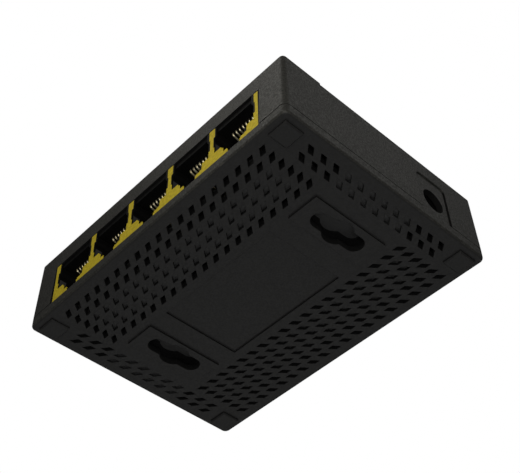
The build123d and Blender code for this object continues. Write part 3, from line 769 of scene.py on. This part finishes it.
# Small parts in rows under the board: a dark or ceramic body between two tinned ends
smallParts = {
    "size": (0.80 * mm, 1.60 * mm, 0.50 * mm),
    "endLength": 0.32 * mm,
    "endProud": 0.03 * mm,
    "rounding": 0.04 * mm,
    "tin": (0.60, 0.60, 0.58),
    "roughness": 0.45,
    "grain": 0.2 * mm,
    "grainDepth": 0.004 * mm,
    "speckLift": 1.4,
    "rows": [
        # piece, body tone, middle of the row along Y, parts, their pitch, groups, their pitch
        ("portTerminators", (0.012, 0.012, 0.013), -3.72 * mm, 3, 3.2 * mm, portCount, portPitch),
        ("indicatorResistors", (0.012, 0.012, 0.013), 24.2 * mm, 6, 5.0 * mm, 1, 0.0),
        ("supplyCapacitors", (0.36, 0.25, 0.14), 18.0 * mm, 4, 2.4 * mm, 1, 0.0),
    ],
}


def partFinish(name, tone, middle):
    look = smallParts
    finish, tree, shader, place = startFinish(name, look["roughness"])
    specks = noise(tree, place, look["grain"])
    body = mixed(tree, specks, tone, tuple(part * look["speckLift"] for part in tone))
    off = maths(tree, "SUBTRACT", axes(tree, place)[1], middle)
    inner = within(tree, off, look["size"][1] / 2 - look["endLength"])
    tree.links.new(mixed(tree, inner, look["tin"], body), shader.inputs["Base Color"])
    tree.links.new(inverse(tree, inner), shader.inputs["Metallic"])
    relief(tree, shader, specks, look["grainDepth"])
    return finish


def partShape(name, middle):
    width, length, height = smallParts["size"]
    proud, end = smallParts["endProud"], smallParts["endLength"]
    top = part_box("circuit_board")[0].z
    blocks = [((0, middle, top - height / 2), (width, length - 2 * end, height))]
    for side in (-1, 1):
        away = middle + side * (length - end) / 2
        blocks.append(((0, away, top - (height + proud) / 2), (width + 2 * proud, end, height + proud)))
    return blockShape(name, blocks, smallParts["rounding"])


def makeParts(name, tone, middle, count, pitch, groups, groupPitch):
    piece = settled(partShape(name, middle), gridTree(partFinish(name + "Finish", tone, middle)), {
        "Item Count": count,
        "Item Pitch": pitch,
        "Group Count": groups,
        "Group Pitch": groupPitch,
    })
    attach(piece, "root")


for row in smallParts["rows"]:
    makeParts(*row)
print("stage: leads and small parts placed")

# Spring contacts: eight bent wires in each port, in two sets whose tails stand apart
contactComb = {
    "pairCount": 4,
    "wirePitch": 1.016 * mm,
    "wireWidth": 0.45 * mm,
    "wireThickness": 0.30 * mm,
    "bendRadius": 0.42 * mm,
    "tailTop": 17.1 * mm,
    "tailPlaces": (-19.7 * mm, -17.3 * mm),
    "runHeight": 14.95 * mm,
    "frontLeg": -27.65 * mm,
    "springHeight": 13.2 * mm,
    "springEnd": (-19.35 * mm, 11.28 * mm),
}


def makeContacts(comb):
    paths = []
    for index, tail in enumerate(comb["tailPlaces"]):
        x = (index - 0.5) * comb["wirePitch"]
        paths.append([
            (x, tail, comb["tailTop"]),
            (x, tail, comb["runHeight"]),
            (x, comb["frontLeg"], comb["runHeight"]),
            (x, comb["frontLeg"], comb["springHeight"]),
            (x, *comb["springEnd"]),
        ])
    piece = settled(wireShape("portContacts", paths), wireTree(finishes["contact"]), {
        "Item Count": comb["pairCount"],
        "Item Pitch": 2 * comb["wirePitch"],
        "Group Count": portCount,
        "Group Pitch": portPitch,
        "Wire Width": comb["wireWidth"],
        "Wire Thickness": comb["wireThickness"],
        "Bend Radius": comb["bendRadius"],
    })
    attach(piece, "root")
    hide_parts(*[f"port_contacts_{i + 1}" for i in range(portCount)])
    return piece


portContacts = makeContacts(contactComb)
print("stage: contacts bent,", len(portContacts.data.polygons), "faces")

# Steps in the lower corners of each mouth: thin yellow plates beside the latch pocket
mouthSteps = {
    "plates": [
        # inner end, outer end, lowest, highest, across and up each mouth
        (3.96 * mm, 6.30 * mm, 6.05 * mm, 7.10 * mm),
        (2.06 * mm, 3.45 * mm, 4.40 * mm, 5.05 * mm),
    ],
    "front": 0.02 * mm,
    "back": 0.39 * mm,
    "rounding": 0.06 * mm,
}


def makeSteps(look):
    front, back = jackFront + look["front"], jackFront + look["back"]
    blocks = []
    for inner, outer, low, high in look["plates"]:
        for side in (-1, 1):
            middle = (side * (inner + outer) / 2, (front + back) / 2, (low + high) / 2)
            blocks.append((middle, (outer - inner, back - front, high - low)))
    shape = blockShape("mouthSteps", blocks, look["rounding"])
    piece = settled(shape, gridTree(jackFinish("stepYellow", False)), {
        "Item Count": portCount,
        "Item Pitch": portPitch,
        "Group Count": 1,
        "Group Pitch": 0.0,
    })
    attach(piece, "root")


makeSteps(mouthSteps)
print("stage: steps set in the mouths")
